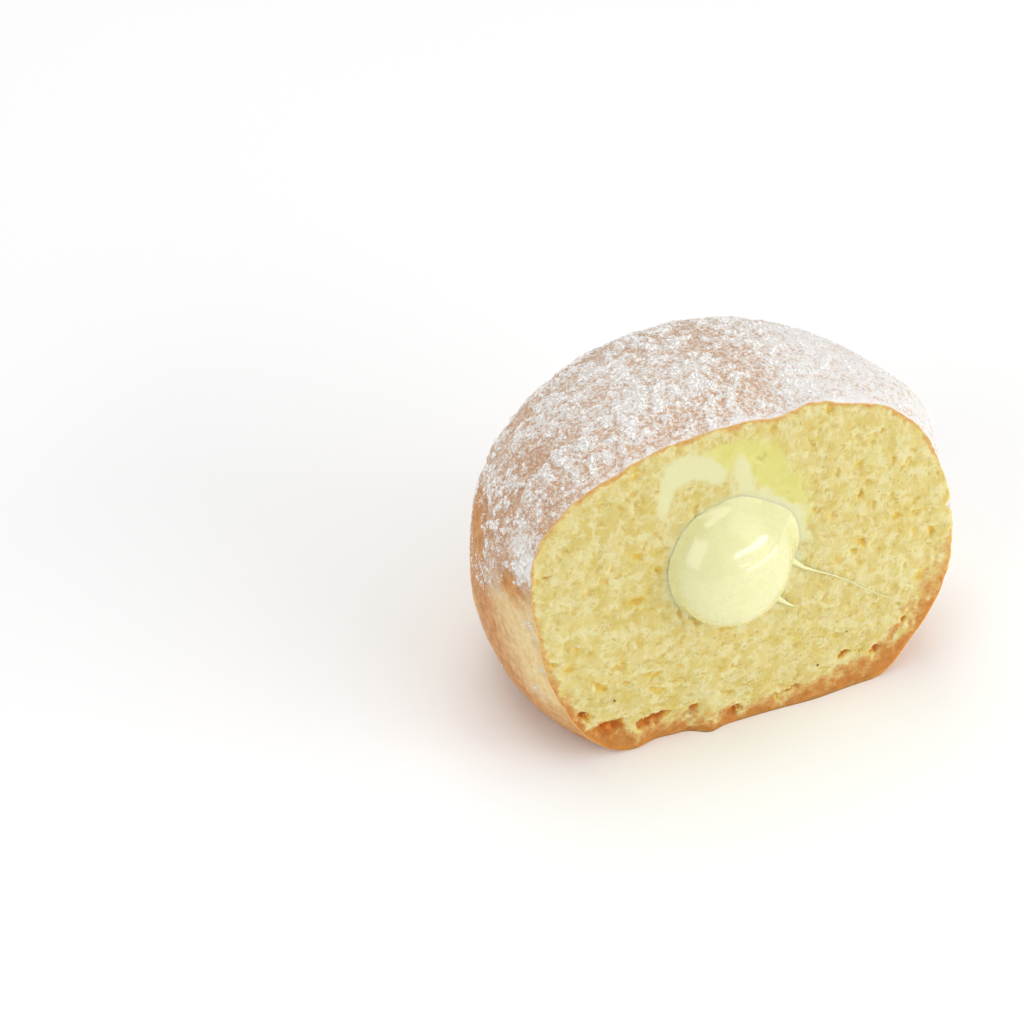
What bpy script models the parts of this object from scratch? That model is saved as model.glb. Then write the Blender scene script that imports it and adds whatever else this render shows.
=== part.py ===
"""A cut mini doughnut with its filling, modelled at its real size.

The doughnut is a small round bun of fried dough without a hole. A knife has taken its front
away, and the larger piece stands on its flat underside. Cream fills a pocket in the middle
and has run out of the cut in a round drop.

Two solids: "dough", the bun with its pocket, and "cream", which runs from the drop on the
cut face to the back of the pocket. Metres, +Z up. The origin is where the bun's own axis
meets the table, and the cut faces -Y.
"""

import math
import random

import bmesh
import bpy
from mathutils import Vector, noise

# ---- The whole bun, before it is cut -------------------------------------------------------
BUN_RADIUS = 0.030  # half of its width at the waist
WAIST_HEIGHT = 0.0191  # the widest level, above the table
DOME_RISE = 0.0219  # from the waist up to the top
KEEL_DROP = 0.0280  # from the waist down to where the underside would end if it weren't flat
DOME_SQUARENESS = 2.57  # 2 is a plain ellipse, and more is boxier
KEEL_SQUARENESS = 2.29
BASE_ROUNDING = 0.002  # the height over which the wall turns into the flat underside
LEAN = Vector((-0.009, -0.082))  # how far the bun leans for each metre of height

# The bun isn't quite round: a two-sided swelling that grows from nothing at the underside, and
# a three-sided one at every height, as shares of the radius.
OVAL, OVAL_TURN = 0.0375, math.radians(63)
THREE_SIDED, THREE_SIDED_TURN = 0.012, math.radians(180)

# Where the bun bulges or is dented, each (place, half size, how far out).
BULGES = [
    (Vector((0.0210, -0.0126, 0.0015)), 0.0065, -0.0017),
    (Vector((0.0265, -0.0094, 0.0285)), 0.0055, -0.0007),
    (Vector((0.0260, -0.0015, 0.0320)), 0.0050, 0.0008),
    (Vector((0.0273, -0.0110, 0.0130)), 0.0040, 0.0003),
    (Vector((0.0186, -0.0075, 0.0377)), 0.0030, 0.00035),
    (Vector((0.0095, -0.0070, 0.0404)), 0.0030, 0.0006),
    (Vector((0.0045, -0.0070, 0.0406)), 0.0030, -0.0005),
    (Vector((-0.0165, -0.0072, 0.0388)), 0.0040, -0.0006),
    (Vector((-0.0265, -0.0082, 0.0320)), 0.0035, 0.0005),
    (Vector((-0.0290, -0.0102, 0.0200)), 0.0060, -0.0004),
    (Vector((-0.0300, -0.0030, 0.0170)), 0.0060, -0.00045),
    (Vector((-0.0263, -0.0117, 0.0085)), 0.0040, -0.00025),
]

# Soft lumps all over the crust, and creases in the pale band round the waist.
LUMP_HEIGHT, LUMP_SIZE = 0.00035, 0.011
CREASE_DEPTH, CREASE_SPACING = 0.00018, 0.0030
CREASE_WAVER = 2.0  # how far the creases wander up and down, in radians of their rhythm
BAND_HALF_HEIGHT = 0.0062

# ---- The cut ------------------------------------------------------------------------------
CUT_SETBACK = 0.0101  # from the bun's axis forward to the cut, at waist height
CUT_SLOPE = 0.144  # the face leans back by this much for each unit of height
CUT_BOW = 0.0012  # the crumb springs forward by this much in the middle

# The bottom edge was torn, not cut. Each tear is (u, half its width, how far it stands forward).
TEARS = [
    (-0.0130, 0.0024, -0.0008),
    (-0.0095, 0.0020, -0.00065),
    (-0.0066, 0.0016, 0.0007),
    (0.0080, 0.0040, 0.0003),
]
TEAR_HEIGHT = 0.0026  # a tear has mostly died out at this height
CRUMB_ROUGHNESS, CRUMB_GRAIN = 0.0003, 0.0028
PORE_COUNT = 30
PORE_RADII = (0.0010, 0.0019)
PORE_DEPTH = 0.6  # as a share of the pore's radius
PORE_FADE = 6.0  # a pore has died out at this many squared radii from its middle
PORE_SEED = 11
KNIFE_REACH = 0.0375  # how far the knife's sweep reaches to each side, and ahead of the cut
KNIFE_BELOW, KNIFE_ABOVE = 0.005, 0.062  # and below the table and above it

# ---- The cream ----------------------------------------------------------------------------
# Its lobes are placed on the cut: u to the right, v out of the face, w above the table.
# Each is (centre, half sizes), and all of them hold CREAM_HEART.
CREAM_HEART = Vector((-0.0016, -0.0026, 0.0256))
CREAM_LOBES = {
    "drop": (Vector((-0.0032, 0.0003, 0.0232)), Vector((0.0078, 0.0053, 0.0078))),
    "spill": (Vector((0.0002, -0.0016, 0.0250)), Vector((0.0055, 0.0042, 0.0047))),
    "filling": (Vector((-0.0010, -0.0125, 0.0262)), Vector((0.0108, 0.0112, 0.0088))),
}
LOBE_BLEND = 10.0  # how sharply one lobe gives way to the next; more is sharper
SEAT_GAP = 0.00035  # clearance between the cream and the dough, along a line from the heart

# ---- Mesh densities -----------------------------------------------------------------------
BUN_SEGMENTS, BUN_RINGS = 88, 38
CUT_GRID_STEP = 0.00110
CREAM_SEGMENTS, CREAM_RINGS = 40, 26
SMOOTH_ANGLE = math.radians(50)


# ---- Form of the bun ----------------------------------------------------------------------
def superellipse(angle, squareness):
    """The (across, up) pair of a unit superellipse at an angle above the horizontal."""
    across = abs(math.cos(angle)) ** (2 / squareness)
    up = math.copysign(abs(math.sin(angle)) ** (2 / squareness), angle)
    return across, up


def pressed_flat(height):
    """A height above the table, with all that would lie below the table pressed flat."""
    if height > BASE_ROUNDING:
        return height
    if height < -BASE_ROUNDING:
        return 0.0
    return (height + BASE_ROUNDING) ** 2 / (4 * BASE_ROUNDING)


def roundness(longitude, height):
    """The radius at a longitude and a height, as a share of BUN_RADIUS."""
    oval = OVAL * min(1.0, height / (2 * WAIST_HEIGHT))
    return (
        1
        + oval * math.cos(2 * longitude - OVAL_TURN)
        + THREE_SIDED * math.cos(3 * longitude - THREE_SIDED_TURN)
    )


def skin_relief(point):
    """How far the crust stands out at a point: bulges, soft lumps and the waist's creases."""
    bulges = sum(
        out * math.exp(-((point - place).length_squared / half_size**2))
        for place, half_size, out in BULGES
    )
    lumps = LUMP_HEIGHT * noise.noise(point / LUMP_SIZE)
    above_waist = (point.z - WAIST_HEIGHT) / BAND_HALF_HEIGHT
    band = math.exp(-(above_waist**2))
    waver = CREASE_WAVER * noise.noise(point / (3 * LUMP_SIZE))
    creases = CREASE_DEPTH * band * math.sin(math.tau * point.z / CREASE_SPACING + waver)
    return bulges + lumps + creases


def bun_point(latitude, longitude):
    """A point of the uncut bun's crust."""
    rising = latitude > 0
    across, up = superellipse(latitude, DOME_SQUARENESS if rising else KEEL_SQUARENESS)
    height = pressed_flat(WAIST_HEIGHT + up * (DOME_RISE if rising else KEEL_DROP))
    outward = Vector((math.cos(longitude), math.sin(longitude), 0))
    point = outward * (BUN_RADIUS * across * roundness(longitude, height))
    lean = LEAN * (height - WAIST_HEIGHT)
    point += Vector((lean.x, lean.y, height))
    if height > 0:
        relief = skin_relief(point)
        point += relief * (outward * across + Vector((0, 0, up if rising else 0)))
    return point


def base_latitude():
    """The latitude at which the underside first lies flat on the table."""
    depth = (WAIST_HEIGHT + BASE_ROUNDING) / KEEL_DROP
    return -math.asin(depth ** (KEEL_SQUARENESS / 2))


# ---- Form of the cut ----------------------------------------------------------------------
def clean_cut(u, w):
    """The y of the cut at u across and w above the table, before any crumb relief."""
    across = u / BUN_RADIUS
    up = (w - WAIST_HEIGHT) / DOME_RISE
    bow = CUT_BOW * max(0.0, 1 - across**2 - up**2)
    torn = sum(forward * math.exp(-(((u - at) / width) ** 2)) for at, width, forward in TEARS)
    torn *= math.exp(-max(0.0, w) / TEAR_HEIGHT)
    return -CUT_SETBACK + CUT_SLOPE * (w - WAIST_HEIGHT) - bow - torn


def scatter_pores():
    """The larger holes in the crumb: (u, w, radius), thrown over the face by a seeded draw."""
    draw = random.Random(PORE_SEED)
    pores = []
    for _ in range(PORE_COUNT):
        u = draw.uniform(-1, 1) * BUN_RADIUS
        w = draw.uniform(0, 1) * (WAIST_HEIGHT + DOME_RISE)
        radius = draw.uniform(*PORE_RADII)
        pores.append((u, w, radius))
    return pores


def crumb_relief(u, w, pores):
    """How far the crumb stands out of the clean cut: a soft grain, less the pores."""
    grain = CRUMB_ROUGHNESS * noise.noise(Vector((u, 0, w)) / CRUMB_GRAIN)
    pits = 0.0
    for pore_u, pore_w, radius in pores:
        reach = ((u - pore_u) ** 2 + (w - pore_w) ** 2) / radius**2
        if reach < PORE_FADE:
            pits += PORE_DEPTH * radius * math.exp(-reach)
    return grain - pits


# ---- Form of the cream --------------------------------------------------------------------
def reach_of_lobe(direction, centre, half_sizes):
    """The distance from the cream's heart to a lobe's surface, in a direction."""
    start = [(h - c) / size for h, c, size in zip(CREAM_HEART, centre, half_sizes)]
    step = [d / size for d, size in zip(direction, half_sizes)]
    a = sum(d * d for d in step)
    b = sum(p * d for p, d in zip(start, step))
    c = sum(p * p for p in start) - 1
    return (-b + math.sqrt(b * b - a * c)) / a


def cream_reach(direction):
    """The distance from the cream's heart to its surface, with the lobes run together."""
    powers = [reach_of_lobe(direction, *lobe) ** LOBE_BLEND for lobe in CREAM_LOBES.values()]
    return sum(powers) ** (1 / LOBE_BLEND)


def on_cut(u, v, w):
    """The place that lies u across, v out of the cut face and w above the table."""
    return Vector((u, clean_cut(u, w) - v, w))


# ---- Meshes -------------------------------------------------------------------------------
def make_object(name, mesh_builder):
    """An object in the scene from a filled bmesh, with its normals facing out."""
    bmesh.ops.recalc_face_normals(mesh_builder, faces=mesh_builder.faces)
    mesh = bpy.data.meshes.new(name)
    mesh_builder.to_mesh(mesh)
    mesh_builder.free()
    thing = bpy.data.objects.new(name, mesh)
    bpy.context.scene.collection.objects.link(thing)
    return thing


def join_rings(builder, rings):
    """Quads between each ring of vertices and the next one."""
    for lower, upper in zip(rings, rings[1:]):
        for i in range(len(lower)):
            j = (i + 1) % len(lower)
            builder.faces.new((lower[i], lower[j], upper[j], upper[i]))


def close_with_fan(builder, ring, tip):
    """Triangles from a ring to one vertex."""
    for i in range(len(ring)):
        builder.faces.new((ring[i], ring[(i + 1) % len(ring)], tip))


def build_bun():
    """The whole bun: rings from the edge of the flat underside to the top of the dome."""
    builder = bmesh.new()
    lowest = base_latitude()
    rings = []
    for k in range(BUN_RINGS):
        latitude = lowest + (math.pi / 2 - lowest) * k / BUN_RINGS
        longitudes = (math.tau * i / BUN_SEGMENTS for i in range(BUN_SEGMENTS))
        rings.append([builder.verts.new(bun_point(latitude, angle)) for angle in longitudes])
    join_rings(builder, rings)
    builder.faces.new(rings[0])
    close_with_fan(builder, rings[-1], builder.verts.new(bun_point(math.pi / 2, 0)))
    return make_object("dough", builder)


def build_knife():
    """The space that the cut leaves empty: a block whose back is the crumb's surface."""
    builder = bmesh.new()
    pores = scatter_pores()
    columns = round(2 * KNIFE_REACH / CUT_GRID_STEP)
    rows = round((KNIFE_BELOW + KNIFE_ABOVE) / CUT_GRID_STEP)
    grid = []
    for k in range(rows + 1):
        w = -KNIFE_BELOW + k * CUT_GRID_STEP
        line = []
        for i in range(columns + 1):
            u = -KNIFE_REACH + i * CUT_GRID_STEP
            line.append(builder.verts.new(on_cut(u, crumb_relief(u, w, pores), w)))
        grid.append(line)
    for below, above in zip(grid, grid[1:]):
        for i in range(columns):
            builder.faces.new((below[i], below[i + 1], above[i + 1], above[i]))
    extruded = bmesh.ops.extrude_face_region(builder, geom=builder.faces[:])
    for element in extruded["geom"]:
        if isinstance(element, bmesh.types.BMVert):
            element.co.y = -CUT_SETBACK - KNIFE_REACH
    return make_object("knife_cut", builder)


def build_cream(name, grow):
    """The cream as a closed surface round its heart, let out by grow all over."""
    builder = bmesh.new()

    def surface(tilt, turn):
        across = math.sin(tilt)
        direction = Vector((across * math.cos(turn), math.cos(tilt), across * math.sin(turn)))
        place = CREAM_HEART + direction * (cream_reach(direction) + grow)
        return builder.verts.new(on_cut(*place))

    rings = []
    for k in range(1, CREAM_RINGS):
        tilt = math.pi * k / CREAM_RINGS
        turns = (math.tau * i / CREAM_SEGMENTS for i in range(CREAM_SEGMENTS))
        rings.append([surface(tilt, turn) for turn in turns])
    join_rings(builder, rings)
    close_with_fan(builder, rings[0], surface(0, 0))
    close_with_fan(builder, rings[-1], surface(math.pi, 0))
    return make_object(name, builder)


# ---- Finishes and assembly ----------------------------------------------------------------
def make_finish(name, colour, roughness):
    """A plain Principled material."""
    material = bpy.data.materials.new(name)
    material.use_nodes = True
    shader = material.node_tree.nodes["Principled BSDF"]
    shader.inputs["Base Color"].default_value = (*colour, 1)
    shader.inputs["Roughness"].default_value = roughness
    shader.inputs["Metallic"].default_value = 0
    return material


def cut_away(thing, cutter):
    """Takes the cutter's space out of a solid, and keeps the cutter out of the model."""
    boolean = thing.modifiers.new(cutter.name, "BOOLEAN")
    boolean.operation = "DIFFERENCE"
    boolean.solver = "EXACT"
    boolean.object = cutter
    cutter.hide_render = True
    cutter.display_type = "WIRE"


def shade(thing, finish):
    """Gives a solid its material and smooth shading with its real edges kept."""
    thing.data.materials.append(finish)
    thing.data.shade_smooth()
    thing.data.set_sharp_from_angle(angle=SMOOTH_ANGLE)


def main():
    for leftover in list(bpy.data.objects):
        bpy.data.objects.remove(leftover)
    dough = build_bun()
    cut_away(dough, build_knife())
    cut_away(dough, build_cream("cream_seat", SEAT_GAP))
    cream = build_cream("cream", 0.0)
    shade(dough, make_finish("fried_dough", (0.72, 0.50, 0.24), 0.75))
    shade(cream, make_finish("custard_cream", (0.84, 0.82, 0.47), 0.25))


main()
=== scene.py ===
# %% [markdown]
# # A cut mini doughnut, in cells
#
# This lesson dresses a doughnut. Its plain solids are already modelled, and they arrive as a
# frame: a bun called `dough`, with its front cut away, and the `cream` that fills it. Each cell
# below makes one piece or one finish of the real thing, and says why it is made that way.
#
# The first step is always to load the frame, and to note the box that it fills. Everything that
# is added later has to stay inside that box, or the doughnut would no longer be its real size.

# %% Load the frame
import math

import bmesh
import bpy
import numpy as np
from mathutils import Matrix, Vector
from mathutils.geometry import delaunay_2d_cdt


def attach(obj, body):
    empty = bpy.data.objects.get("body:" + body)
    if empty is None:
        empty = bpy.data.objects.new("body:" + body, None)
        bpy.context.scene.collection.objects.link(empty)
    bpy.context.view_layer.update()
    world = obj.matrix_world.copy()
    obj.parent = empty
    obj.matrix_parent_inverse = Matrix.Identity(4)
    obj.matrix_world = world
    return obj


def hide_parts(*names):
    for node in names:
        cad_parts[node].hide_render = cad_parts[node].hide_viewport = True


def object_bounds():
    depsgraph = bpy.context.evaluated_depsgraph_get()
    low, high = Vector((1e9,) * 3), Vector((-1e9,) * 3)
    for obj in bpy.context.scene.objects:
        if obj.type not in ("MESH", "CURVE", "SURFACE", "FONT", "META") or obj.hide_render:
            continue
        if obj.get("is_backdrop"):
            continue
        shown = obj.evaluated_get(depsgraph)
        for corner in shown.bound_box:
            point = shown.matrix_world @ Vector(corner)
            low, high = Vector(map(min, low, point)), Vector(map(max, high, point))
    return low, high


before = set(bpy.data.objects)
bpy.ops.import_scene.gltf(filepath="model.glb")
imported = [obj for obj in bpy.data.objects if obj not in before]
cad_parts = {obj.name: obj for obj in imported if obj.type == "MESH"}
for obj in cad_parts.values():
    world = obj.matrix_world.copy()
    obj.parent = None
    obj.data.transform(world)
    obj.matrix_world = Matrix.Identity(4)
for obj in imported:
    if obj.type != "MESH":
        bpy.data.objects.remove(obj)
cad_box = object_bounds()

print("solids in the frame:", sorted(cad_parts))

# %% [markdown]
# ## The form of the bun
#
# A small filled doughnut is a ball of dough that was proved on a tray and fried on both sides, so
# it has a flat underside, a high dome and a pale waist. Such a form could be sculpted, but a
# formula is easier to change and to cut: a **superellipse**, which is an ellipse with squarer
# shoulders, turned round the upright axis. These are the same sizes that the solids were built
# from. `bun_excess` says how far a point is outside the bun: below 0 is dough, above 0 is air.

# %% The bun's sizes
MM = 0.001
BUN_RADIUS = 30 * MM
WAIST_HEIGHT = 19.1 * MM
DOME_RISE, DOME_SQUARENESS = 21.9 * MM, 2.57
KEEL_DROP, KEEL_SQUARENESS = 28 * MM, 2.29
BASE_ROUNDING = 2 * MM
LEAN_X, LEAN_Y = -0.009, -0.082
OVAL, OVAL_TURN = 0.0375, math.radians(63)
THREE_SIDED, THREE_SIDED_TURN = 0.012, math.radians(180)
BUN_HEART = np.array([0, 0, WAIST_HEIGHT])
# Where the bun bulges or is dented: ((x, y, z), half size, how far out), in mm.
BULGES = [
    ((21.0, -12.6, 1.5), 6.5, -1.7), ((26.5, -9.4, 28.5), 5.5, -0.7),
    ((26.0, -1.5, 32.0), 5.0, 0.8), ((27.3, -11.0, 13.0), 4.0, 0.3),
    ((18.6, -7.5, 37.7), 3.0, 0.35), ((9.5, -7.0, 40.4), 3.0, 0.6),
    ((4.5, -7.0, 40.6), 3.0, -0.5), ((-16.5, -7.2, 38.8), 4.0, -0.6),
    ((-26.5, -8.2, 32.0), 3.5, 0.5), ((-29.0, -10.2, 20.0), 6.0, -0.4),
    ((-30.0, -3.0, 17.0), 6.0, -0.45), ((-26.3, -11.7, 8.5), 4.0, -0.25),
]
print("a bun", 2 * BUN_RADIUS / MM, "mm wide and", (WAIST_HEIGHT + DOME_RISE) / MM, "mm high")


# %% The bun as a formula
def undo_bulges(places):
    """Where each place of the bulged bun would be on the plain one."""
    out = sum(
        far * MM * np.exp(-((places - np.array(spot) * MM) ** 2).sum(axis=1) / (half_size * MM) ** 2)
        for spot, half_size, far in BULGES
    )
    arms = places - BUN_HEART
    arms = arms / (np.linalg.norm(arms, axis=1)[:, None] + 1e-9)
    arms[:, 2] = np.maximum(arms[:, 2], 0)
    return places - arms * out[:, None]


def bun_excess(places):
    """Below 0 inside the bun, and above 0 outside it, at each place (an array of x, y, z)."""
    plain = undo_bulges(places)
    height = np.maximum(plain[:, 2], 0)
    pressed = 2 * np.sqrt(BASE_ROUNDING * height) - BASE_ROUNDING
    level = np.where(height < BASE_ROUNDING, pressed, height) - WAIST_HEIGHT
    x = plain[:, 0] - LEAN_X * (height - WAIST_HEIGHT)
    y = plain[:, 1] - LEAN_Y * (height - WAIST_HEIGHT)
    turn = np.arctan2(y, x)
    oval = OVAL * np.minimum(1, height / (2 * WAIST_HEIGHT))
    roundness = 1 + oval * np.cos(2 * turn - OVAL_TURN)
    roundness += THREE_SIDED * np.cos(3 * turn - THREE_SIDED_TURN)
    across = np.hypot(x, y) / (BUN_RADIUS * roundness)
    rise = np.where(level > 0, DOME_RISE, KEEL_DROP)
    squareness = np.where(level > 0, DOME_SQUARENESS, KEEL_SQUARENESS)
    excess = across**squareness + (abs(level) / rise) ** squareness - 1
    return np.where(places[:, 2] < 0, 1.0, excess)


def reach_from_heart(directions, excess=bun_excess, heart=BUN_HEART, furthest=60 * MM):
    """How far the surface lies from a heart inside it, along each direction, by halving."""
    near = np.zeros(len(directions))
    far = np.full(len(directions), furthest)
    for _ in range(30):
        middle = (near + far) / 2
        inside = excess(heart + directions * middle[:, None]) < 0
        near = np.where(inside, middle, near)
        far = np.where(inside, far, middle)
    return (near + far) / 2


upright = np.array([[0, 0, 1.0], [1.0, 0, 0], [0, 1.0, 0]])
print("from the heart up, right and back, mm:", (reach_from_heart(upright) / MM).round(1))

# %% [markdown]
# ## Noise
#
# Nothing baked is smooth. The unevenness comes from **noise**: random heights on a lattice, with
# smooth slopes between them. Blender has noise of its own, but asking it for one point at a time
# is slow, and this surface has well over a hundred thousand points. A few lines of numpy do them
# all at once. `rough` adds finer and finer noise, each layer half as strong, as real crumb has.

# %% Noise for whole arrays of points
LATTICE = 32
# The lattice is turned, so that its rows don't run along the doughnut.
TURNED = np.linalg.qr(np.random.default_rng(5).normal(size=(3, 3)))[0]


def noise(places, size, seed):
    """Smooth noise from -1 to 1, whose hills are about `size` across."""
    heights = np.random.default_rng(seed).uniform(-1, 1, (LATTICE, LATTICE, LATTICE))
    cells = places @ TURNED / size
    corner = np.floor(cells).astype(int)
    part = cells - corner
    ease = part * part * (3 - 2 * part)
    total = np.zeros(len(places))
    for step in np.ndindex(2, 2, 2):
        weight = np.prod(np.where(step, ease, 1 - ease), axis=1)
        x, y, z = ((corner + step) % LATTICE).T
        total += weight * heights[x, y, z]
    return total


def rough(places, size, seed, layers=3):
    """Noise with finer layers on top of it."""
    return sum(noise(places, size / 2**k, seed + k) / 2**k for k in range(layers))


def fade(value, start, end):
    """A soft step: 0 at start, 1 at end, and smooth between them."""
    share = np.clip((value - start) / (end - start), 0, 1)
    return share * share * (3 - 2 * share)


sample = np.random.default_rng(0).uniform(0, 30 * MM, (2000, 3))
sampled = noise(sample, 2 * MM, 1)
print("noise runs from", sampled.min().round(2), "to", sampled.max().round(2))

# %% [markdown]
# ## Where the knife went
#
# The knife took the front away on a nearly flat face that leans back a little. The soft crumb
# springs forward in the middle. At the bottom edge the crust tears instead of cutting, so there
# it hangs forward in some places and is set back in others. `cut_y` gives the y of that face,
# for a place `u` across it and `w` above the table.

# %% The cut as a formula
CUT_SETBACK, CUT_SLOPE, CUT_BOW = 10.1 * MM, 0.144, 1.2 * MM
# Each tear in the bottom edge: (u, half its width, how far it stands forward).
TEARS = [
    (-13.0 * MM, 2.4 * MM, -0.8 * MM),
    (-9.5 * MM, 2.0 * MM, -0.65 * MM),
    (-6.6 * MM, 1.6 * MM, 0.7 * MM),
    (8.0 * MM, 4.0 * MM, 0.3 * MM),
]
TEAR_HEIGHT = 2.6 * MM


def upright_places(u, w):
    """Places on the upright plane y = 0, for each (u, w)."""
    return np.stack([u, np.zeros_like(u), w], axis=1)


def cut_y(u, w):
    """The y of the clean cut, before the crumb's own roughness."""
    bow = CUT_BOW * np.maximum(0, 1 - (u / BUN_RADIUS) ** 2 - ((w - WAIST_HEIGHT) / DOME_RISE) ** 2)
    tears = sum(forward * np.exp(-(((u - at) / width) ** 2)) for at, width, forward in TEARS)
    return -CUT_SETBACK + CUT_SLOPE * (w - WAIST_HEIGHT) - bow - tears * np.exp(-w / TEAR_HEIGHT)


for w in (0, WAIST_HEIGHT, 2 * WAIST_HEIGHT):
    print(round(w / MM), "mm up, the cut stands at y =", round(cut_y(0.0, w) / MM, 1), "mm")

# %% [markdown]
# ## The skin's own relief
#
# The crust has soft lumps all over, from the dough's gas, and fine creases that run round the
# pale waist, where the two fried halves meet. On the dome the icing sugar cakes into clumps that
# stand up from it, and at the right the knife nicked the crust. All of them are a share of a
# millimetre. They could be a bump in the finish, but real relief also shows in the outline, so
# it is added along the line from the bun's heart, which is nearly square to the crust
# everywhere. The underside lay on the tray, so the relief fades out there.

# %% Lumps, creases, caked sugar and a nick
LUMP_HEIGHT, LUMP_SIZE = 0.30 * MM, 10 * MM
DIMPLE_HEIGHT, DIMPLE_SIZE = 0.08 * MM, 1.7 * MM
CREASE_DEPTH, CREASE_SPACING, CREASE_WAVER = 0.05 * MM, 2.3 * MM, 3.0
BAND_MIDDLE, BAND_HALF_HEIGHT = 17 * MM, 6.5 * MM
CLUMP_SIZE, DRIFT_SIZE, POWDER_HEIGHT = 0.95 * MM, 3.2 * MM, 0.28 * MM
# A nick in the crust at the right: (x, y, z), half size and depth.
NICK, NICK_SIZE, NICK_DEPTH = np.array([27.8, -9.7, 21.8]) * MM, 0.55 * MM, 0.8 * MM


def caking(places):
    """Where the powder cakes together: 0 between the clumps, and 1 on them."""
    return fade(rough(places, CLUMP_SIZE, 11, 3) + 0.5 * noise(places, DRIFT_SIZE, 15), -0.5, 0.6)


def skin_relief(places):
    """How far the crust stands out at each place."""
    lumps = LUMP_HEIGHT * noise(places, LUMP_SIZE, 3)
    dimples = DIMPLE_HEIGHT * rough(places, DIMPLE_SIZE, 5, 2)
    band = np.exp(-(((places[:, 2] - BAND_MIDDLE) / BAND_HALF_HEIGHT) ** 2))
    waver = CREASE_WAVER * noise(places, 9 * MM, 8)
    creases = CREASE_DEPTH * band * np.sin(math.tau * places[:, 2] / CREASE_SPACING + waver)
    nick = NICK_DEPTH * np.exp(-((places - NICK) ** 2).sum(axis=1) / NICK_SIZE**2)
    # The powder lies thick on the dome, but fine and smooth on its right shoulder.
    powder = POWDER_HEIGHT * caking(places) * fade(places[:, 2], 20 * MM, 28 * MM)
    powder *= 1 - 0.6 * fade(places[:, 0], 12 * MM, 20 * MM)
    return (lumps + dimples + creases) * fade(places[:, 2], 0, 3 * MM) + powder - nick


def on_crust(directions):
    """Points of the crust, relief and all, in each direction from the bun's heart."""
    plain = BUN_HEART + directions * reach_from_heart(directions)[:, None]
    places = plain + directions * skin_relief(plain)[:, None]
    places[:, 2] = np.maximum(places[:, 2], 0)
    return places


top_and_right = on_crust(upright[:2])
print("the crust's top and its right side, mm:", (top_and_right / MM).round(1).tolist())

# %% [markdown]
# ## The outline of the cut
#
# The crust and the crumb meet along one closed line, and both have to share its points, or the
# doughnut would have a gap all round. The line is found by walking round the cut face: at
# each angle, the place where the face leaves the bun. Then it is divided again into steps of
# equal length, because equal steps make tidy triangles.

# %% Walk round the cut
CRUMB_STEP = 0.2 * MM
FACE_MIDDLE = np.array([-1 * MM, 20 * MM])


def face_excess(places):
    """bun_excess for places given as (u, anything, w), moved onto the cut face."""
    on_face = places.copy()
    on_face[:, 1] = cut_y(places[:, 0], places[:, 2])
    return bun_excess(on_face)


def length_of(line):
    """How long the line through the points is."""
    return np.linalg.norm(np.diff(line, axis=0), axis=1).sum()


def even_steps(loop, count):
    """The closed line through the points of loop, divided into count equal steps."""
    closed = np.vstack([loop, loop[:1]])
    walked = np.concatenate([[0], np.cumsum(np.linalg.norm(np.diff(closed, axis=0), axis=1))])
    at = np.linspace(0, walked[-1], count, endpoint=False)
    return np.stack([np.interp(at, walked, closed[:, i]) for i in range(loop.shape[1])], axis=1)


angles = np.linspace(0, math.tau, 3000, endpoint=False)
around = upright_places(np.cos(angles), np.sin(angles))
face_heart = np.array([FACE_MIDDLE[0], 0, FACE_MIDDLE[1]])
walk = face_heart + around * reach_from_heart(around, face_excess, face_heart)[:, None]
walk[:, 1] = cut_y(walk[:, 0], walk[:, 2])
outline_length = length_of(np.vstack([walk, walk[:1]]))
outline = even_steps(walk, round(outline_length / CRUMB_STEP))
print("the cut's outline is", round(outline_length / MM), "mm long, in", len(outline), "steps")

# %% [markdown]
# ## Knitting the crust
#
# The crust runs from the outline of the cut, round the bun, to one point at its back. It is
# knitted like a hat: ring after ring of points, with each ring given as many points as its length
# needs. A grid with the same number of points in every ring would be simpler, but it crowds them
# at the back. `knit` joins two rings whose numbers of points differ. Every ring starts from even
# steps along the clean outline: points that drifted sideways from it would give long, skewed
# triangles, and those show as a dark line.

# %% Knit two rings
def knit(lower, upper):
    """Triangles between two closed rings of point numbers."""
    triangles = []
    i = j = 0
    while i < len(lower) or j < len(upper):
        if j == len(upper) or (i < len(lower) and (i + 1) * len(upper) <= (j + 1) * len(lower)):
            triangles.append((lower[i], upper[j % len(upper)], lower[(i + 1) % len(lower)]))
            i += 1
        else:
            triangles.append((lower[i % len(lower)], upper[j], upper[(j + 1) % len(upper)]))
            j += 1
    return triangles


print("rings of 4 and 3 points give", len(knit(range(4), range(4, 7))), "triangles")

# %% Rings of crust from the cut to the back
CRUST_STEP = 0.27 * MM
BACK = np.array([0, 1.0, 0])
# The first two rings have this share of the outline's points, which lie closer than the crust's.
FIRST_RINGS = (0.75, 0.6)
# Every 16th direction guides the rings, a short probe ahead measures the gap between them, and
# they stop at the last share of the way, just short of the back.
GUIDE_EVERY, PROBE, LAST_SHARE = 16, 0.004, 0.985


def unit(vectors):
    """The same directions, one long."""
    return vectors / np.linalg.norm(vectors, axis=1)[:, None]


def turned(starts, goal, share):
    """Directions turned from each start towards the goal, by a share of the way."""
    angle = np.arccos(np.clip(starts @ goal, -1, 1))[:, None]
    return (np.sin((1 - share) * angle) * starts + np.sin(share * angle) * goal) / np.sin(angle)


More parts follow.
